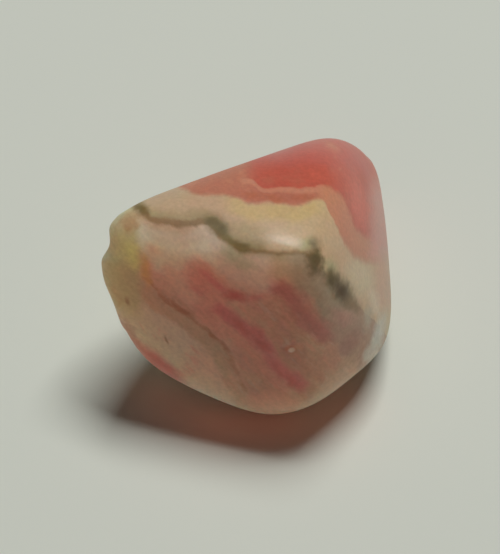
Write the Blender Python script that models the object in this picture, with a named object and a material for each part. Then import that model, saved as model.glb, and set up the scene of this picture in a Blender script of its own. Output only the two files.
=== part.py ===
"""A tumbled rhodochrosite stone, worn smooth, lying on its flattest side.

Metres, +Z up. The origin is the middle of the bounding box's underside, on the surface that the stone
lies on. The front of the stone is -Y and its right side is +X.
"""

import math

import bmesh
import bpy
import numpy as np
from mathutils import Vector, noise

MM = 0.001
NAME = "tumbled_stone"

# The broken piece had flat faces, and tumbling rounded the edges between them. Each face is given by the
# bearing it looks along (0 front, 90 right, 180 back, -90 left), how far it tilts up, and its distance
# from the middle of the stone.
FACES = {
    "top": (162.5, 70, 15.4 * MM),
    "top_front": (-13, 89, 16.4 * MM),
    "front_upper": (-14, 15, 10.05 * MM),
    "front_right_upper": (43, 11.5, 11.85 * MM),
    "right_upper": (84.5, 20, 11.5 * MM),
    "right": (93.5, 6.5, 12.35 * MM),
    "back": (-145, 0, 7.4 * MM),
    "back_left_upper": (-157.5, 32.5, 11.34 * MM),
    "back_left_lower": (-108.5, -26, 7.0 * MM),
    "back_right_upper": (119.5, 29.5, 14.85 * MM),
    "left": (-108.5, 5.5, 13.1 * MM),
    "left_lower": (-66.5, -41.5, 9.45 * MM),
    "front_lower": (-29.5, -43.5, 9.65 * MM),
    "right_lower": (37.5, -47.5, 9.62 * MM),
    "underside": (0, -90, 8.0 * MM),
}
UNDERSIDE_BEVELS = {"front": 0, "right": 90, "back": 180, "left": -90}
UNDERSIDE_BEVEL_TILT = -72
UNDERSIDE_BEVEL_DISTANCE = 9.55 * MM
EDGE_HARDNESS = 11.9  # 2 would melt the faces into a ball, 30 would leave them almost sharp
REST_DEPTH = 7.7 * MM  # from the middle of the stone down to the worn flat that it lies on

# Chips and pits: bearing and tilt of their middle, half length, half width, depth, and how far the length is
# turned from level.
HOLLOWS = {
    "left_chip": (-79.5, 41.5, 3.4 * MM, 1.7 * MM, 0.75 * MM, 48),
    "left_dip": (-68, 25.5, 4.0 * MM, 2.2 * MM, 0.18 * MM, 53),
    "front_pit": (17.5, 31.5, 0.9 * MM, 0.7 * MM, 0.28 * MM, 10),
}
WAVINESS = 0.10 * MM  # tumbling leaves the broad faces slightly uneven
WAVE_LENGTH = 6.5 * MM

GRID = 24  # squares along each side of the cube that the stone starts as
FINER = 3  # each square is cut this many times smaller near a small or sharp feature
FINE_ZONES = {  # bearing, tilt and reach of each, in degrees seen from the middle of the stone
    "left_edge": (-74, 33, 21),
    "front_pit": (17.5, 31.5, 6),
    "back_corner": (145, -11, 10),
}

COLOUR = (0.30, 0.15, 0.11, 1.0)
ROUGHNESS = 0.25


def clear_scene():
    for obj in list(bpy.data.objects):
        bpy.data.objects.remove(obj, do_unlink=True)


def direction(bearing, tilt):
    """Unit vector that looks along a bearing and tilts up, both in degrees."""
    turn, rise = math.radians(bearing), math.radians(tilt)
    return np.array([math.sin(turn) * math.cos(rise), -math.cos(turn) * math.cos(rise), math.sin(rise)])


def worn_radius(ways):
    """Distance from the middle of the stone to its surface, along each unit vector in ways."""
    faces = list(FACES.values())
    for bearing in UNDERSIDE_BEVELS.values():
        faces.append((bearing, UNDERSIDE_BEVEL_TILT, UNDERSIDE_BEVEL_DISTANCE))
    total = np.zeros(len(ways))
    for bearing, tilt, distance in faces:
        total += (np.clip(ways @ direction(bearing, tilt), 0, None) / distance) ** EDGE_HARDNESS
    return total ** (-1 / EDGE_HARDNESS)


def hollow_depth(points, bearing, tilt, half_length, half_width, depth, roll):
    """How far each point is pushed in by one smooth oval hollow."""
    out = direction(bearing, tilt)
    level = np.array([math.cos(math.radians(bearing)), math.sin(math.radians(bearing)), 0.0])
    steep = np.cross(out, level)
    turn = math.radians(roll)
    along = math.cos(turn) * level + math.sin(turn) * steep
    across = math.cos(turn) * steep - math.sin(turn) * level
    spread = (points @ along / half_length) ** 2 + (points @ across / half_width) ** 2
    spread[points @ out < 0] = 9.0
    return depth * np.clip(1 - spread, 0, None) ** 2


def ways_out(shape):
    """Unit vector from the middle of the cube to each vertex, at equal angles along its sides."""
    ways = np.tan(np.array([vertex.co for vertex in shape.verts]) * math.pi / 4)
    return ways / np.linalg.norm(ways, axis=1)[:, None]


def gridded_cube():
    """A cube of equal squares, cut finer around the small features."""
    shape = bmesh.new()
    bmesh.ops.create_cube(shape, size=2.0)
    bmesh.ops.subdivide_edges(shape, edges=shape.edges[:], cuts=GRID - 1, use_grid_fill=True)
    for bearing, tilt, reach in FINE_ZONES.values():
        near = ways_out(shape) @ direction(bearing, tilt) > math.cos(math.radians(reach))
        shape.verts.index_update()
        edges = [edge for edge in shape.edges if all(near[vertex.index] for vertex in edge.verts)]
        bmesh.ops.subdivide_edges(shape, edges=edges, cuts=FINER - 1, use_grid_fill=True)
    return shape


def make_stone():
    """The gridded cube with each vertex moved to the worn surface."""
    shape = gridded_cube()
    ways = ways_out(shape)
    points = ways * worn_radius(ways)[:, None]
    waves = np.array([noise.noise(Vector(point / WAVE_LENGTH)) for point in points])
    points += ways * WAVINESS * waves[:, None]
    for hollow in HOLLOWS.values():
        points -= ways * hollow_depth(points, *hollow)[:, None]
    points[:, 2] = np.maximum(points[:, 2], -REST_DEPTH)
    middle = (points.max(axis=0) + points.min(axis=0)) / 2
    points -= [middle[0], middle[1], -REST_DEPTH]
    for vertex, point in zip(shape.verts, points):
        vertex.co = point
    bmesh.ops.recalc_face_normals(shape, faces=shape.faces)
    mesh = bpy.data.meshes.new(NAME)
    shape.to_mesh(mesh)
    shape.free()
    mesh.shade_smooth()
    return bpy.data.objects.new(NAME, mesh)


def stone_material():
    material = bpy.data.materials.new("rhodochrosite")
    material.use_nodes = True
    shader = material.node_tree.nodes["Principled BSDF"]
    shader.inputs["Base Color"].default_value = COLOUR
    shader.inputs["Roughness"].default_value = ROUGHNESS
    shader.inputs["Metallic"].default_value = 0.0
    return material


clear_scene()
collection = bpy.data.collections.new("Rhodochrosite stone")
bpy.context.scene.collection.children.link(collection)
stone = make_stone()
stone.data.materials.append(stone_material())
collection.objects.link(stone)
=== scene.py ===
"""Looks of a tumbled rhodochrosite stone: a fine copy of its worn shape, its banded material, a pale floor,
soft studio light and the photograph's viewing angle. Lengths are in metres, except in the banding and the
marks, which are laid out in millimetres."""

import math

import bmesh
import bpy
from mathutils import Matrix, Vector


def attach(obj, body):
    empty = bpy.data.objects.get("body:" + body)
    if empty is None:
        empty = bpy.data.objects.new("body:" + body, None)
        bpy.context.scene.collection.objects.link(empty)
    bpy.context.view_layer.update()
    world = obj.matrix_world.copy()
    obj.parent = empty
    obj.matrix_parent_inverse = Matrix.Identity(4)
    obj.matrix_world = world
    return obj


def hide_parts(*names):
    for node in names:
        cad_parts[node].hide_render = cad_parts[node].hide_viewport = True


MM = 0.001

# The viewing angle: the camera looks along +Y and down at the stone.
VIEW_TILT = math.radians(58)
TOWARDS_CAMERA = Vector((0, -math.cos(VIEW_TILT), math.sin(VIEW_TILT)))
PICTURE_UP = Vector((0, math.sin(VIEW_TILT), math.cos(VIEW_TILT)))
PICTURE_RIGHT = Vector((1, 0, 0))
HEART = Vector((0.46, -2.15, 7.7)) * MM  # the middle of the stone, which the banding is laid out around
CAMERA_DISTANCE = 240 * MM
FRAME_HEIGHT = 49.86 * MM  # what the picture's height spans at the heart
HEART_OFFSET = (0.535 * MM, -1.148 * MM)  # where the heart lies from the picture's middle, right and up
SENSOR_MM = 36.0

# The fine copy of the stone's mesh: the halves of each square are joined where they bend less than this, and
# the squares are cut finer. Smoothing shrinks the lower side most, so that is swelled again, by up to
# EVEN_SHARE + 1 times SWELL. The faces turned to the camera get EVEN_SHARE of it, and the upper side is drawn
# in by up to 1 - EVEN_SHARE of it.
JOIN_ANGLE = math.radians(40)
WELD_DISTANCE = 0.001 * MM
FINE_LEVELS = 2
SWELL = 0.05 * MM
EVEN_SHARE = 0.3

FLOOR_COLOUR = (0.77, 0.80, 0.71, 1)
FLOOR_HALF_WIDTH = 1.5
FLOOR_ROUGHNESS = 0.9
KEY_TILT = math.radians(72.2)
KEY_BEARING = math.radians(29.5)
KEY_DISTANCE = 1.2
KEY_WIDTH = 0.50
KEY_HEIGHT = 0.29
KEY_POWER = 9.9
FILL = 0.04

# Light that has soaked through the stone leaves its underside red. The renderer drops it before it reaches
# the floor, so small soft lights just below the overhanging faces stand in for it: where each is, in mm, the
# bearing and tilt that it shines along, its size in mm and its share of the glow.
GLOWS = {
    "front": ((0.2, -11.7, 2.8), (0, -53), (9.0, 3.0), 0.75),
    "left": ((-6.8, -9.4, 3.6), (-35, -45), (8.0, 3.0), 0.7),
    "right": ((7.8, -10.0, 4.2), (37, -47), (6.0, 3.0), 0.7),
}
GLOW_POWER = 2.2e-5
GLOW_COLOUR = (1.0, 0.12, 0.05)

# The stone's material: light soaks in, red the furthest.
SOAK_DEPTH = 12.0 * MM
SOAK_BY_COLOUR = (2.0, 0.80, 0.55)
POLISH = 0.38
GLOSS = 0.42  # tumbling with grit leaves the polish less bright than a cut gem
DULL = 0.22  # how much rougher the left half is
WAVE_HEIGHT = 0.03 * MM  # of the faint unevenness that tumbling leaves in the polish
WAVE_LENGTH_MM = 1.4
MOTTLING = 0.35  # how strongly fine mottles and threads vary the colour
THREADS = 0.3

# Directions that are fixed in the stone, in which its banding is laid out: a sheet of the banding runs back
# through the stone along SHEET_RUN, and is drawn in the plane across it, rightwards and upwards.
SHEET_RUN = TOWARDS_CAMERA
RIGHTWARDS = PICTURE_RIGHT
UPWARDS = PICTURE_UP
BAND_SLOPE = math.radians(48)  # how steeply the front bands fall to the right
WANDER = 0.6  # how far the layers stray from their lines on the front, in mm
BACK_WANDER = 5.0  # and how much further towards the back

# The dark vein and the edges of the layers above it: (rightwards, upwards) in mm from the heart.
VEIN = [
    (-10.6, 7.6), (-9.9, 6.9), (-9.0, 6.2), (-8.2, 5.9), (-7.4, 5.8), (-6.4, 5.6), (-5.4, 5.7),
    (-4.4, 5.9), (-3.8, 5.6), (-3.2, 4.9), (-2.4, 4.2), (-1.4, 3.6), (-0.6, 3.4), (0.6, 3.3), (2.0, 3.2),
    (3.9, 3.3), (4.5, 3.0), (4.9, 2.2), (5.8, 1.5), (6.7, 0.7), (7.4, -0.3), (8.6, -1.2), (9.6, -2.0),
    (12.0, -4.4),
]
RED_EDGE = [
    (-12.0, 9.6), (-6.1, 8.7), (-5.0, 8.2), (-3.8, 8.2), (-2.4, 8.1), (-1.4, 7.8), (-0.4, 7.4),
    (1.0, 7.5), (2.4, 7.4), (3.4, 7.3), (4.4, 7.6), (5.3, 7.9), (5.9, 7.5), (6.3, 6.7), (6.7, 5.8),
    (7.2, 5.0), (7.6, 4.2), (8.2, 3.5), (8.8, 3.0), (9.8, 2.7), (11.1, 2.7), (12.5, 2.2),
]
CORAL_EDGE = [
    (-6.0, 9.8), (-3.0, 9.7), (-1.1, 9.5), (-0.5, 9.4), (0.0, 9.1), (0.5, 8.7), (1.2, 8.6), (2.5, 8.7),
    (3.7, 8.6), (4.8, 8.7), (5.9, 8.9), (6.8, 8.5), (7.3, 8.0), (7.7, 7.5), (8.1, 6.6), (9.0, 5.0),
    (10.0, 4.4), (12.5, 4.0),
]

# The bands across the front: (along the bands, across them) in mm.
OLIVE_LINE = [
    (-7.5, -6.2), (-6.8, -6.4), (-5.5, -6.5), (-4.0, -6.1), (-2.6, -5.8), (-1.5, -5.7), (0.0, -5.5),
    (1.4, -5.4), (2.7, -5.6), (4.1, -6.1), (5.4, -6.6), (6.5, -6.8),
]
THIN_ROSE_LINE = [
    (-6.3, -6.4), (-5.1, -6.0), (-3.7, -5.5), (-2.6, -5.4), (-1.2, -5.2),
]
LOWER_ROSE_BAND = [
    (-1.5, -3.5), (-1.1, -3.4), (0.7, -3.1), (1.8, -2.8), (2.8, -2.6), (4.0, -2.6), (5.2, -3.0),
    (6.5, -3.1), (8.1, -2.7), (9.5, -2.6),
]
UPPER_ROSE_BAND = [
    (-0.5, 0.2), (0.3, 0.6), (0.6, 1.5), (1.6, 1.8), (2.6, 1.7), (3.9, 1.5), (5.1, 1.6), (6.8, 1.8),
    (9.2, 3.1),
]

# The layers above the vein.
CREAM = (0.63, 0.46, 0.285)
DULL_CREAM = (0.55, 0.39, 0.25)
MOSS_CREAM = (0.47, 0.355, 0.195)
YELLOW_CREAM = (0.635, 0.475, 0.23)
PALE_CREAM = (0.68, 0.56, 0.37)
SALMON_RED = (0.51, 0.20, 0.125)
ORANGE_RED = (0.49, 0.165, 0.08)
SALMON = (0.60, 0.275, 0.16)
PALE_SALMON = (0.61, 0.28, 0.175)
CORAL = (0.545, 0.125, 0.08)
DEEP_CORAL = (0.53, 0.13, 0.10)
BRIGHT_CORAL = (0.68, 0.18, 0.12)
# partly a painted sheen on the right edge of the reds
MAUVE_PINK_AND_SHEEN = (0.69, 0.36, 0.30)
RIM_PINK = (0.66, 0.39, 0.27)

# The front below the vein.
WARM_PINK = (0.73, 0.47, 0.32)
PALE_PINK = (0.79, 0.56, 0.40)
DARK_PINK = (0.58, 0.33, 0.215)
OLIVE_TAN = (0.62, 0.47, 0.30)
DUSTY_MAUVE = (0.60, 0.31, 0.25)
SAND = (0.68, 0.54, 0.42)
PALE_SAND = (0.80, 0.69, 0.54)
PINK_SAND = (0.66, 0.52, 0.39)
SAGE = (0.50, 0.48, 0.32)
SAGE_PINK = (0.64, 0.50, 0.37)
TAN_GREY = (0.56, 0.44, 0.29)
GREY_BROWN = (0.40, 0.32, 0.215)
PINK_BROWN = (0.46, 0.30, 0.21)
UMBER = (0.43, 0.245, 0.18)
BUFF = (0.65, 0.45, 0.31)
ROSE_PINK = (0.73, 0.35, 0.25)
ROSE = (0.66, 0.25, 0.21)
DEEP_ROSE = (0.58, 0.175, 0.14)
DARK_ROSE = (0.50, 0.205, 0.16)
OLIVE = (0.56, 0.42, 0.25)
# rust brown of the front's lines, also used for the painted shade above the pit
RUST_AND_PIT_SHADE = (0.48, 0.215, 0.12)
LOWER_BEIGE = (0.71, 0.58, 0.43)
PINK_BEIGE = (0.81, 0.54, 0.39)
BOTTOM_PINK = (0.80, 0.41, 0.29)
EDGE_CORAL = (0.58, 0.205, 0.175)
EDGE_BROWN = (0.43, 0.26, 0.20)
MOSS_TAN = (0.565, 0.50, 0.29)
YELLOW_GREEN = (0.78, 0.73, 0.34)
PALE_MOSS = (0.65, 0.62, 0.36)
OCHRE = (0.73, 0.47, 0.20)
UMBER_TAN = (0.46, 0.285, 0.15)
# partly a painted reflection of the floor on the lower right rim
PALE_GREY_AND_REFLECTION = (0.64, 0.60, 0.52)
GREY_SAGE = (0.49, 0.44, 0.33)
SPECK = (0.35, 0.22, 0.13)
# a painted glint in the pit
PAINTED_GLINT_PINK = (0.84, 0.68, 0.58)

# The vein.
MOSS = (0.375, 0.305, 0.16)
PALE_GREEN = (0.47, 0.45, 0.25)
VEIN_BROWN = (0.275, 0.18, 0.08)
VEIN_OLIVE = (0.215, 0.17, 0.06)
VEIN_GREY_GREEN = (0.17, 0.145, 0.095)
VEIN_DARK = (0.145, 0.11, 0.03)
VEIN_BLACK = (0.09, 0.042, 0.0)


class Field:
    """A number that varies through the stone: the output of a shader node, with arithmetic."""

    def __init__(self, socket):
        self.socket = socket

    def __add__(self, other):
        return arithmetic("ADD", self, other)

    def __sub__(self, other):
        return arithmetic("SUBTRACT", self, other)

    def __mul__(self, other):
        return arithmetic("MULTIPLY", self, other)


class Painter:
    """Adds nodes to one material and keeps the colour painted so far."""

    def __init__(self, tree, colour):
        self.tree = tree
        self.colour = (*colour, 1)

    def node(self, kind, **settings):
        made = self.tree.nodes.new(kind)
        for name, value in settings.items():
            setattr(made, name, value)
        return made

    def feed(self, value, socket):
        if isinstance(value, Field):
            self.tree.links.new(value.socket, socket)
        else:
            socket.default_value = value

    def paint(self, colour, mask):
        mix = self.node("ShaderNodeMix", data_type="RGBA")
        self.feed(mask, mix.inputs["Factor"])
        self.feed(self.colour, mix.inputs[6])
        mix.inputs[7].default_value = (*colour, 1)
        self.colour = Field(mix.outputs[2])

    def shade(self, factor):
        """Multiplies the colour by a factor that varies."""
        scale = self.node("ShaderNodeVectorMath", operation="SCALE")
        self.feed(self.colour, scale.inputs[0])
        self.feed(factor, scale.inputs["Scale"])
        self.colour = Field(scale.outputs[0])


painter = None


def arithmetic(operation, first, second=0.0):
    node = painter.node("ShaderNodeMath", operation=operation)
    painter.feed(first, node.inputs[0])
    painter.feed(second, node.inputs[1])
    return Field(node.outputs[0])


def size_of(field):
    return arithmetic("ABSOLUTE", field)


def smooth(field, start, end):
    """0 at start and before it, 1 at end and beyond it, with a soft step between."""
    node = painter.node("ShaderNodeMapRange", interpolation_type="SMOOTHSTEP")
    painter.feed(field, node.inputs["Value"])
    node.inputs["From Min"].default_value = start
    node.inputs["From Max"].default_value = end
    return Field(node.outputs["Result"])


def through(field, points):
    """The height of a smooth line through the points, at each value of the field."""
    across = [point[0] for point in points]
    heights = [point[1] for point in points]
    low, span = min(heights), max(max(heights) - min(heights), 0.001)
    node = painter.node("ShaderNodeFloatCurve")
    line = node.mapping.curves[0]
    while len(line.points) < len(points):
        line.points.new(0.5, 0.5)
    for spot, (x, y) in zip(line.points, points):
        spot.location = ((x - across[0]) / (across[-1] - across[0]), (y - low) / span)
    node.mapping.update()
    painter.feed((field - across[0]) * (1 / (across[-1] - across[0])), node.inputs["Value"])
    return Field(node.outputs["Value"]) * span + low


def place(x, y, z):
    node = painter.node("ShaderNodeCombineXYZ")
    for value, socket in zip((x, y, z), node.inputs):
        painter.feed(value, socket)
    return Field(node.outputs[0])


def noise(where, size, detail, seed):
    """Soft noise around zero, with lumps of about the size given in mm."""
    shift = painter.node("ShaderNodeVectorMath", operation="ADD")
    painter.feed(where, shift.inputs[0])
    shift.inputs[1].default_value = (seed, seed * 1.7, seed * 2.3)
    node = painter.node("ShaderNodeTexNoise")
    painter.tree.links.new(shift.outputs[0], node.inputs["Vector"])
    node.inputs["Scale"].default_value = 1 / size
    node.inputs["Detail"].default_value = detail
    return Field(node.outputs[0]) - 0.5


def blob(where, middle, radii, turn, core, ragged=0.0):
    """1 in the middle of a soft ellipsoid and 0 outside it.

    Its middle is rightwards, upwards and towards the camera from the heart, in mm like its radii. Its turn
    is in degrees. The core is the share of it that has full strength, and ragged is a field that tears its
    edge."""
    mapping = painter.node("ShaderNodeMapping", vector_type="TEXTURE")
    painter.feed(where, mapping.inputs["Vector"])
    mapping.inputs["Location"].default_value = middle
    mapping.inputs["Rotation"].default_value = (0, 0, math.radians(turn))
    mapping.inputs["Scale"].default_value = [2 * radius for radius in radii]
    ball = painter.node("ShaderNodeTexGradient", gradient_type="SPHERICAL")
    painter.tree.links.new(mapping.outputs[0], ball.inputs["Vector"])
    return smooth(Field(ball.outputs["Fac"]) + ragged, 0.5, 1 - core / 2)


def line(offset, half_width, soft):
    """1 within half_width of a line, given the distance from it, and 0 beyond half_width + soft."""
    return smooth(size_of(offset), half_width + soft, half_width)


def window(field, start, end, soft):
    """1 between start and end, and 0 outside them, with soft steps between."""
    return smooth(field, start - soft, start + soft) * smooth(field, end + soft, end - soft)


def add_camera():
    data = bpy.data.cameras.new("camera")
    data.sensor_width = SENSOR_MM
    data.lens = SENSOR_MM * CAMERA_DISTANCE / FRAME_HEIGHT
    camera = bpy.data.objects.new("camera", data)
    aim = HEART - HEART_OFFSET[0] * PICTURE_RIGHT - HEART_OFFSET[1] * PICTURE_UP
    axes = Matrix((PICTURE_RIGHT, PICTURE_UP, TOWARDS_CAMERA)).transposed()
    camera.matrix_world = Matrix.Translation(aim + CAMERA_DISTANCE * TOWARDS_CAMERA) @ axes.to_4x4()
    bpy.context.scene.collection.objects.link(camera)
    bpy.context.scene.camera = camera


def direction(bearing, tilt):
    """Unit vector that looks along a bearing (0 front, 90 right) and tilts up, both in radians."""
    level = math.cos(tilt)
    return Vector((math.sin(bearing) * level, -math.cos(bearing) * level, math.sin(tilt)))


def soft_light(name, where, shining, width, height, power):
    data = bpy.data.lights.new(name, "AREA")
    data.shape = "RECTANGLE"
    data.size = width
    data.size_y = height
    data.energy = power
    light = bpy.data.objects.new(name, data)
    light.location = where
    light.rotation_mode = "QUATERNION"
    light.rotation_quaternion = (-shining).to_track_quat("Z", "Y")
    bpy.context.scene.collection.objects.link(light)
    return light


def add_light():
    towards_key = direction(math.pi - KEY_BEARING, KEY_TILT)
    soft_light("key", HEART + KEY_DISTANCE * towards_key, -towards_key, KEY_WIDTH, KEY_HEIGHT, KEY_POWER)
    for name, (where, looks, size, share) in GLOWS.items():
        shining = direction(math.radians(looks[0]), math.radians(looks[1]))
        glow = soft_light("glow_" + name, Vector(where) * MM, shining, size[0] * MM, size[1] * MM,
                          GLOW_POWER * share)
        glow.data.color = GLOW_COLOUR
        glow.visible_camera = False
    world = bpy.data.worlds.new("studio")
    world.use_nodes = True
    world.node_tree.nodes["Background"].inputs["Color"].default_value = (1, 1, 1, 1)
    world.node_tree.nodes["Background"].inputs["Strength"].default_value = FILL
    bpy.context.scene.world = world


def add_floor():
    mesh = bpy.data.meshes.new("floor")
    shape = bmesh.new()
    bmesh.ops.create_grid(shape, x_segments=1, y_segments=1, size=FLOOR_HALF_WIDTH)
    shape.to_mesh(mesh)
    shape.free()
    floor = bpy.data.objects.new("floor", mesh)
    bpy.context.scene.collection.objects.link(floor)
    material = bpy.data.materials.new("paper")
    material.use_nodes = True
    shader = material.node_tree.nodes["Principled BSDF"]
    shader.inputs["Base Color"].default_value = FLOOR_COLOUR
    shader.inputs["Roughness"].default_value = FLOOR_ROUGHNESS
    shader.inputs["Specular IOR Level"].default_value = 0.0
    mesh.materials.append(material)


def fine_stone(node):
    """A copy of the node's mesh, with its squares joined again, cut finer and swelled."""
    shape = bmesh.new()
    shape.from_mesh(node.data)
    bmesh.ops.remove_doubles(shape, verts=shape.verts, dist=WELD_DISTANCE)
    bmesh.ops.join_triangles(shape, faces=shape.faces, angle_face_threshold=JOIN_ANGLE,
                             angle_shape_threshold=JOIN_ANGLE)
    mesh = bpy.data.meshes.new("stone")
    shape.to_mesh(mesh)
    shape.free()
    stone = bpy.data.objects.new("stone", mesh)
    bpy.context.scene.collection.objects.link(stone)
    finer = stone.modifiers.new("finer", "SUBSURF")
    finer.levels = FINE_LEVELS
    finer.render_levels = FINE_LEVELS
    bpy.context.view_layer.update()
    fine = bpy.data.meshes.new_from_object(stone.evaluated_get(bpy.context.evaluated_depsgraph_get()))
    stone.modifiers.clear()
    stone.data = fine
    normals = [vertex.normal.copy() for vertex in fine.vertices]
    for vertex, normal in zip(fine.vertices, normals):
        vertex.co += normal * SWELL * (EVEN_SHARE - normal.dot(PICTURE_UP))
        vertex.co.z = max(vertex.co.z, 0)
    fine.shade_smooth()
    return stone


def measure_along(position, direction):
    """How far a position lies from the heart along a direction, in mm."""
    node = painter.node("ShaderNodeVectorMath", operation="DOT_PRODUCT")
    painter.feed(position, node.inputs[0])
    node.inputs[1].default_value = direction / MM
    return Field(node.outputs["Value"]) - HEART.dot(direction) / MM


class Places:
    """Where each point of the stone lies in its banding, in mm, and the noises that vary it."""

    def __init__(self):
        position = Field(painter.node("ShaderNodeTexCoord").outputs["Object"])
        a = measure_along(position, RIGHTWARDS)
        b = measure_along(position, UPWARDS)
        w = measure_along(position, SHEET_RUN)

        # The layers wander a little on the front, and more the further they run back through the stone.
        plain = place(a, b, w)
        drift = smooth(w, 1.0, -9.0) * BACK_WANDER
        x = a + noise(plain, 1.3, 4, 3.1) * WANDER + noise(plain, 6.0, 1, 11.0) * drift
        y = b + noise(plain, 1.3, 4, 7.7) * WANDER + noise(plain, 6.0, 1, 23.0) * drift
        self.w = w
        self.plain = plain
        self.x = x
        self.y = y
        self.here = place(x, y, w)

        # Fine and broad streaks run along the bands, and soft clouds lie across them. The streaks shift the
        # edges of the bands by fall, and the edges of the blobs are ragged.
        along = x * math.cos(BAND_SLOPE) - y * math.sin(BAND_SLOPE)
        across = x * math.sin(BAND_SLOPE) + y * math.cos(BAND_SLOPE)
        self.along = along
        self.across = across
        self.streaks = noise(place(across, along * 0.25, w * 0.25), 0.6, 3, 5.0)
        self.broad_streaks = noise(place(across, along * 0.3, w * 0.3), 1.5, 3, 9.0)
        self.clouds = noise(plain, 2.2, 3, 31.0)
        self.fall = self.streaks * 1.2
        self.ragged = noise(plain, 0.7, 4, 17.0) * 0.45

        # The height above the vein and above the edges of the red and the coral layers.
        self.over_vein = y - through(x, VEIN)
        self.over_red_edge = y - through(x, RED_EDGE)
        self.over_coral_edge = y - through(x, CORAL_EDGE)


def paint_above_vein(at):
    """Cream, greener on the left, then a yellow layer, then the reds, whose edges soften to the right."""
    x, y, here, streaks = at.x, at.y, at.here, at.streaks
    clouds, ragged = at.clouds, at.ragged
    over_red_edge, over_coral_edge = at.over_red_edge, at.over_coral_edge
    paint = painter.paint
    paint(DULL_CREAM, smooth(x + clouds, 0.5, -3.0) * 0.9)
    paint(MOSS_CREAM, blob(here, (-0.6, 4.9, 15.7), (3.0, 1.3, 8), -15, 0.2))
    paint(YELLOW_CREAM, window(over_red_edge, -1.5, -0.1, 0.4) * window(x, -2.4, 5.6, 1.2) * 0.9)
    paint(PALE_CREAM, blob(here, (8.9, 1.1, 8), (3.0, 2.4, 9), -30, 0.2))
    crisp = smooth(x, 8.5, 5.5) * 0.6 + 0.4
    red = smooth(over_red_edge * crisp, -0.3, 0.25)
    paint(SALMON_RED, red)
    paint(SALMON, red * smooth(streaks, 0.0, 0.2) * smooth(x, 1.0, -1.5) * 0.5)
    paint(ORANGE_RED, blob(here, (-0.4, 8.1, 11), (1.4, 0.6, 8), -12, 0.2, ragged) * 0.9)
    paint(ORANGE_RED, blob(here, (1.4, 7.8, 11), (1.6, 0.5, 8), -8, 0.2, ragged) * 0.7)
    paint(ORANGE_RED, blob(here, (3.9, 7.9, 10), (1.7, 0.5, 8), 3, 0.2, ragged) * 0.6)
    paint(SALMON, red * smooth(x, 4.8, 5.8))
    coral = smooth(over_coral_edge * crisp, -0.15, 0.3) * smooth(x, -1.6, 0.4)
    paint(CORAL, coral)
    paint(PALE_SALMON, line(over_coral_edge + 0.1, 0.08, 0.3) * window(x, -1.4, 5.6, 0.5) * 0.9)
    paint(SALMON_RED, coral * smooth(clouds, 0.0, 0.25) * 0.4)
    paint(DEEP_CORAL, coral * smooth(y + clouds * 2.0, 9.8, 11.8) * 0.9)
    paint(DEEP_CORAL, blob(here, (9.6, 11.4, 0), (1.1, 2.4, 6), 30, 0.2, ragged) * 0.9)
    paint(BRIGHT_CORAL, coral * blob(here, (9.1, 7.4, 5), (1.7, 3.8, 8), 14, 0.2, ragged))
    paint(BRIGHT_CORAL, coral * blob(here, (5.0, 9.8, 7), (1.6, 0.9, 6), -20, 0.1, ragged) * 0.5)
    paint(SALMON, blob(here, (6.6, 12.6, 3), (1.2, 0.8, 6), -30, 0.1, ragged) * 0.5)
    paint(PALE_SALMON, blob(here, (7.2, 10.6, 5), (0.4, 0.3, 5), 0, 0.2) * 0.5)
    paint(PALE_SALMON, blob(here, (6.9, 11.6, 4), (0.4, 0.3, 5), 0, 0.2) * 0.4)
    # the reds paler and mauve towards the right edge: partly the stone's colour, partly a painted sheen of
    # light at the grazing edge
    paint(MAUVE_PINK_AND_SHEEN, smooth(x, 9.4, 10.9) * red * smooth(y, 11.0, 8.0) * 0.9)
    paint(RIM_PINK, smooth(x, 10.2, 11.2) * window(y, -1.6, 3.2, 1.0) * 0.8)


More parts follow.
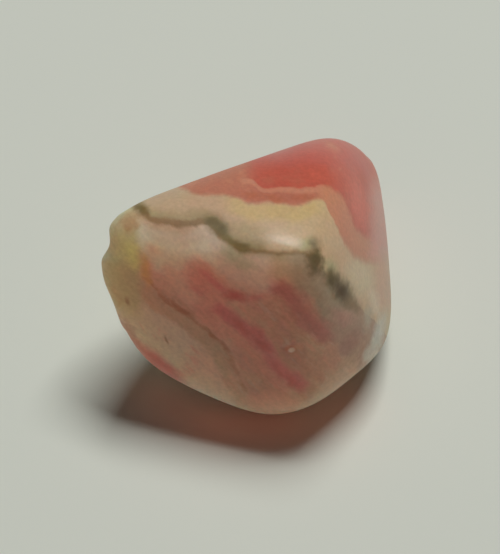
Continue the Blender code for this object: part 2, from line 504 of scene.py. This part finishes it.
def paint_front(at, front):
    """Below the vein: light on the left, darker and browner on the right."""
    x, here, along, across = at.x, at.here, at.along, at.across
    streaks, broad_streaks, clouds, fall = at.streaks, at.broad_streaks, at.clouds, at.fall
    ragged, over_vein = at.ragged, at.over_vein
    paint = painter.paint
    paint(DARK_PINK, front)
    paint(WARM_PINK, front * smooth(x, 2.6, -3.4))
    paint(OLIVE_TAN, front * smooth(broad_streaks, 0.0, 0.16) * 0.45)
    paint(DUSTY_MAUVE, front * smooth(broad_streaks, -0.02, -0.18) * 0.5)
    paint(ROSE_PINK, front * smooth(streaks, 0.04, 0.2) * 0.4)
    paint(SAGE_PINK, front * smooth(streaks, -0.04, -0.2) * 0.4)
    paint(PALE_PINK, front * smooth(x, -4.0, -6.5) * smooth(across + fall, -5.4, -4.2) * 0.7)
    high = smooth(over_vein + clouds * 1.6, -4.0, -2.7)
    paint(SAND, front * high * smooth(x, 2.2, 0.6))
    paint(PALE_SAND, front * high * smooth(x, -2.6, -4.4) * 0.9)
    paint(PALE_PINK, blob(here, (-8.6, 3.4, 14), (1.2, 1.2, 6), 0, 0.1, ragged) * 0.7)
    paint(PALE_SAND, blob(here, (-8.4, 2.2, 13), (1.0, 1.3, 6), 20, 0.1, ragged) * 0.8)
    paint(PINK_SAND, front * smooth(over_vein + clouds, -2.2, -1.2) * smooth(x, -3.0, -4.5) * 0.95)
    paint(UMBER_TAN, front * smooth(over_vein, -1.3, -0.4) * smooth(x, -3.0, -6.0) * 0.55)
    paint(SAGE, blob(here, (-2.0, 2.9, 15), (1.8, 1.3, 6), -38, 0.1, ragged))
    paint(SAGE, blob(here, (-0.9, 2.2, 15.4), (1.2, 0.9, 6), -20, 0.1, ragged) * 0.7)
    paint(TAN_GREY, front * smooth(over_vein, -2.6, -1.6) * smooth(x, 0.6, 2.4))
    shadowed = smooth(across + clouds * 1.6, 2.0, 3.3) * smooth(x, 2.2, 3.6)
    paint(GREY_BROWN, front * shadowed * 0.9)
    paint(PINK_BROWN, front * smooth(along + fall, 5.0, 6.4) * smooth(across + fall, 1.6, 2.4) * 0.85)
    paint(DUSTY_MAUVE, blob(here, (7.6, -2.4, 10), (1.7, 1.0, 5), -30, 0.1, ragged) * 0.5)
    paint(DULL_CREAM, blob(here, (7.8, -6.6, 6), (2.6, 0.9, 5), 42, 0.2, ragged) * 0.6)
    paint(UMBER, blob(here, (8.1, -4.7, 7), (1.9, 1.1, 5), 40, 0.2, ragged) * 0.9)
    paint(BUFF, blob(here, (6.8, -8.4, 5), (4.4, 1.2, 5), 38, 0.2, ragged) * 0.9)


def paint_rose(at):
    """Rose patches under the vein, and two rose bands that fall to the right."""
    here, along, across, fall = at.here, at.along, at.across, at.fall
    ragged = at.ragged
    paint = painter.paint
    paint(ROSE_PINK, blob(here, (-4.6, 0.5, 13.6), (2.3, 1.7, 6), -42, 0.2, ragged) * 0.8)
    paint(ROSE_PINK, line(across + 2.4 + fall, 0.3, 1.0) * window(along, -5.5, -1.0, 0.8) * 0.5)
    paint(ROSE, blob(here, (-3.9, 1.1, 13.8), (1.9, 0.6, 6), -40, 0.1, ragged) * 0.6)
    paint(ROSE, blob(here, (-4.9, -0.1, 13.0), (0.4, 1.3, 6), 45, 0.1, ragged) * 0.4)
    paint(ROSE, blob(here, (-2.8, 0.1, 13.2), (1.9, 0.7, 6), -40, 0.0, ragged) * 0.7)
    paint(DEEP_ROSE, blob(here, (-1.8, -0.5, 13), (1.5, 0.8, 6), -8, 0.0, ragged) * 0.95)
    paint(ROSE, blob(here, (-0.2, -0.6, 13.5), (1.7, 0.6, 6), 5, 0.0, ragged) * 0.6)
    paint(DARK_ROSE, blob(here, (1.6, 0.0, 14.2), (1.2, 0.5, 6), 0, 0.0, ragged) * 0.6)
    lower_band = across - through(along, LOWER_ROSE_BAND)
    upper_band = across - through(along, UPPER_ROSE_BAND)
    paint(ROSE_PINK, line(lower_band + 0.6 + fall, 0.6, 1.0) * window(along, -2.6, 8.6, 0.8) * 0.7)
    paint(ROSE, line(lower_band + fall * 0.8, 0.2, 0.8) * window(along, -1.4, 9.2, 0.5) * 0.95)
    paint(DEEP_ROSE, blob(here, (-1.3, -3.1, 11), (0.5, 1.5, 6), 48, 0.1, ragged) * 0.8)
    paint(DEEP_ROSE, blob(here, (0.5, -4.5, 10), (0.55, 1.7, 6), 42, 0.1, ragged) * 0.9)
    paint(DEEP_ROSE, blob(here, (1.7, -6.6, 8.6), (0.5, 1.4, 6), 30, 0.1, ragged) * 0.6)
    paint(DEEP_ROSE, blob(here, (3.2, -8.0, 7.6), (0.7, 1.6, 6), 50, 0.1, ragged) * 0.7)
    paint(DARK_ROSE, line(upper_band + fall * 0.8, 0.25, 0.75) * window(along, 0.9, 7.4, 0.8) * 0.9)
    paint(DARK_ROSE, line(upper_band - 0.9 + fall, 0.1, 0.6) * window(along, 2.6, 6.6, 0.7) * 0.5)


def paint_left_and_foot(at):
    """The olive and rust lines, what lies below them, the coral rim of the foot, and a pale grey rim on the
    right that is partly the stone's grey and partly a painted reflection of the floor.
    """
    x, y, here, along = at.x, at.y, at.here, at.along
    across, streaks, clouds, fall = at.across, at.streaks, at.clouds, at.fall
    ragged = at.ragged
    paint = painter.paint
    olive_line = across - through(along, OLIVE_LINE)
    below_line = smooth(olive_line + fall, -0.8, -1.6)
    paint(LOWER_BEIGE, below_line * smooth(along, 3.0, -1.0) * 0.95)
    paint(PINK_BEIGE, below_line * smooth(along, -0.5, 2.5) * 0.9)
    paint(ROSE_PINK, below_line * smooth(streaks, 0.06, 0.2) * 0.5)
    paint(OLIVE, line(olive_line + 0.7 + fall, 0.3, 0.7) * window(along, -7.0, 3.6, 1.0) * 0.6)
    broken = smooth(streaks + clouds, -0.3, 0.15)
    paint(RUST_AND_PIT_SHADE, line(olive_line + fall * 0.8, 0.0, 0.45) * window(along, -7.4, 6.0, 0.8) * broken * 0.9)
    thin_line = across - through(along, THIN_ROSE_LINE)
    paint(RUST_AND_PIT_SHADE, line(thin_line, 0.02, 0.3) * window(along, -5.9, -1.6, 0.5) * 0.3)
    paint(MOSS_TAN, smooth(x + clouds, -9.4, -10.6) * smooth(y + fall, -3.0, -1.2))
    paint(UMBER_TAN, blob(here, (-12.4, -0.4, 9.5), (2.2, 0.9, 6), -66, 0.1, ragged) * 0.5)
    paint(EDGE_BROWN, blob(here, (-11.2, -3.9, 6.6), (3.6, 1.0, 5), -62, 0.2, ragged) * 0.9)
    paint(EDGE_CORAL, blob(here, (-8.6, -6.7, 5.0), (5.0, 1.35, 5), -44, 0.3))
    paint(DEEP_ROSE, blob(here, (-5.6, -9.6, 3.6), (3.0, 0.8, 5), -24, 0.2) * 0.8)
    paint(BOTTOM_PINK, blob(here, (1.6, -9.9, 5), (3.6, 1.5, 6), 0, 0.3) * 0.9)
    paint(UMBER_TAN, blob(here, (-10.8, 5.8, 13.7), (1.9, 1.2, 6), 40, 0.3, ragged) * 0.9)
    paint(MOSS_TAN, blob(here, (-11.6, 4.8, 13.4), (0.7, 1.3, 6), 0, 0.1, ragged) * 0.6)
    paint(YELLOW_GREEN, blob(here, (-10.6, 3.0, 13), (1.4, 2.6, 6), 24, 0.0, ragged) * 0.85)
    paint(PALE_MOSS, blob(here, (-11.7, 2.8, 12), (1.2, 1.6, 6), 0, 0.0, ragged) * 0.7)
    paint(OCHRE, blob(here, (-9.4, 1.6, 12.4), (0.7, 2.2, 6), 8, 0.0, ragged) * 0.9)
    paint(SPECK, blob(here, (-11.2, -0.9, 9.3), (0.3, 0.7, 4), 15, 0.2) * 0.7)
    paint(SPECK, blob(here, (-7.8, -4.3, 8), (0.2, 0.6, 4), 20, 0.2) * 0.7)
    paint(PALE_SAND, blob(here, (10.4, -1.0, 4), (0.9, 1.8, 6), 10, 0.1, ragged) * 0.5)
    # pale grey on the lower right rim: partly the stone's grey, partly a painted reflection of the bright
    # floor at the grazing edge
    paint(PALE_GREY_AND_REFLECTION, blob(here, (10.9, -4.0, 3.5), (1.0, 3.4, 7), -18, 0.1, ragged * 0.6))
    paint(PALE_GREY_AND_REFLECTION, blob(here, (10.2, -5.6, 3), (0.9, 1.5, 6), -38, 0.2, ragged * 0.6))
    paint(GREY_SAGE, blob(here, (9.8, -2.4, 5), (0.7, 1.9, 5), -8, 0.1, ragged * 0.6) * 0.8)


def paint_vein(at):
    """A thin brown line under a mossy layer, swelling into dark blobs with soft edges."""
    x, here, clouds, fall = at.x, at.here, at.clouds, at.fall
    ragged, over_vein = at.ragged, at.over_vein
    paint = painter.paint
    above = smooth(over_vein, -0.3, 0.05)
    soft = ragged * 0.4
    paint(MOSS, smooth(over_vein + clouds, 1.5, 0.3) * above * window(x, -10.6, 0.8, 0.7) * 0.95)
    below = smooth(over_vein, -1.0, -0.1) * smooth(over_vein, 0.2, -0.1)
    paint(MOSS, below * window(x, -3.0, 2.6, 0.6) * 0.6)
    paint(PALE_GREEN, blob(here, (6.3, 2.0, 14.4), (1.2, 1.2, 6), -30, 0.0, soft))
    paint(PALE_GREEN, blob(here, (4.3, 3.9, 15.2), (1.3, 1.0, 6), 0, 0.1, soft) * 0.8)
    paint(GREY_BROWN, blob(here, (3.7, 2.4, 15.8), (0.7, 1.0, 6), 0, 0.1, soft) * 0.6)
    paint(GREY_BROWN, blob(here, (6.6, -0.6, 12.6), (0.8, 1.9, 6), 40, 0.1, soft) * 0.7)
    paint(VEIN_BROWN, line(over_vein + fall * 0.4, 0.08, 0.42) * window(x, -9.6, -3.0, 0.5))
    paint(VEIN_BROWN, line(over_vein + fall * 0.3, 0.0, 0.35) * window(x, -2.0, 4.6, 0.6) * 0.6)
    paint(VEIN_OLIVE, line(over_vein - 0.1, 0.15, 0.5) * window(x, -3.0, -0.6, 0.4) * 0.75)
    paint(VEIN_DARK, blob(here, (-9.9, 7.0, 13.3), (1.5, 0.7, 6), -38, 0.1, soft) * 0.9)
    paint(VEIN_OLIVE, blob(here, (-3.3, 5.5, 15), (2.0, 1.25, 6), -38, 0.1, soft))
    paint(VEIN_DARK, blob(here, (-3.7, 5.8, 15), (1.0, 0.6, 6), -15, 0.1, soft) * 0.8)
    paint(VEIN_DARK, blob(here, (-2.9, 5.2, 15), (0.85, 0.8, 6), -50, 0.1, soft) * 0.8)
    paint(VEIN_DARK, blob(here, (-1.3, 3.9, 15.9), (0.9, 0.35, 6), -15, 0.1, soft) * 0.4)
    paint(VEIN_GREY_GREEN, blob(here, (4.9, 3.8, 15.3), (0.9, 1.1, 6), 0, 0.0, soft) * 0.7)
    paint(VEIN_DARK, blob(here, (5.0, 2.5, 15.5), (1.15, 1.8, 6), 8, 0.1, ragged))
    paint(VEIN_GREY_GREEN, blob(here, (4.9, 2.3, 15.4), (1.1, 1.8, 6), 10, 0.1, ragged) * 0.5)
    paint(MOSS, blob(here, (7.6, -0.2, 12.2), (3.2, 1.5, 6), -52, 0.1, soft) * 0.9)
    paint(VEIN_DARK, blob(here, (6.4, 1.0, 13.8), (1.0, 1.4, 6), 25, 0.1, soft) * 0.95)
    paint(VEIN_BLACK, blob(here, (7.5, -0.2, 12.0), (2.5, 1.25, 6), -54, 0.05, soft))
    paint(VEIN_BROWN, blob(here, (8.5, -1.3, 9.6), (1.6, 0.8, 6), -42, 0.1, soft) * 0.85)


def paint_pit_glint_and_shade(at):
    """Painted shade in rust brown just above the pit, and a painted glint in white pink in the pit."""
    plain, here = at.plain, at.here
    paint = painter.paint
    # painted shade just above the pit
    paint(RUST_AND_PIT_SHADE, blob(here, (3.1, -4.5, 10.4), (0.6, 0.3, 3), -20, 0.2) * 0.5)
    # painted glint in the pit
    paint(PAINTED_GLINT_PINK, blob(plain, (3.05, -5.15, 10.0), (0.42, 0.28, 3), 15, 0.4))


def stone_material():
    global painter
    material = bpy.data.materials.new("rhodochrosite")
    material.use_nodes = True
    painter = Painter(material.node_tree, CREAM)
    at = Places()
    paint_above_vein(at)
    front = smooth(at.over_vein, 0.08, -0.12)
    paint_front(at, front)
    paint_rose(at)
    paint_left_and_foot(at)
    paint_vein(at)
    paint_pit_glint_and_shade(at)

    shader = material.node_tree.nodes["Principled BSDF"]
    threads = noise(place(at.across, at.along * 0.25, at.w * 0.25), 0.4, 4, 13.0) * front
    painter.shade(noise(at.plain, 0.35, 3, 2.0) * MOTTLING + threads * THREADS + 1.0)
    painter.feed(painter.colour, shader.inputs["Base Color"])
    painter.feed(smooth(at.x, 2.2, -1.0) * DULL + POLISH, shader.inputs["Roughness"])
    bump = painter.node("ShaderNodeBump")
    bump.inputs["Strength"].default_value = 1.0
    bump.inputs["Distance"].default_value = WAVE_HEIGHT
    painter.feed(noise(at.plain, WAVE_LENGTH_MM, 2, 41.0), bump.inputs["Height"])
    painter.tree.links.new(bump.outputs["Normal"], shader.inputs["Normal"])
    shader.inputs["Specular IOR Level"].default_value = GLOSS
    shader.inputs["Subsurface Weight"].default_value = 1.0
    shader.inputs["Subsurface Radius"].default_value = SOAK_BY_COLOUR
    shader.inputs["Subsurface Scale"].default_value = SOAK_DEPTH
    return material


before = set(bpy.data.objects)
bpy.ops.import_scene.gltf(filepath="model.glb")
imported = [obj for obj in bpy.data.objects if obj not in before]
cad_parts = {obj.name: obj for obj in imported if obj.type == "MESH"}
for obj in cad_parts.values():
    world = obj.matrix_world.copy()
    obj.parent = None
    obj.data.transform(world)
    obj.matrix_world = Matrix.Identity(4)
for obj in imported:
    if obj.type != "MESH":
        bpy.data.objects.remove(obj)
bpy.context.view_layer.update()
add_camera()
add_light()
add_floor()
stone = fine_stone(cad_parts["tumbled_stone"])
stone.data.materials.clear()
stone.data.materials.append(stone_material())
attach(stone, "root")
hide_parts("tumbled_stone")
bpy.context.scene.view_settings.view_transform = "Standard"
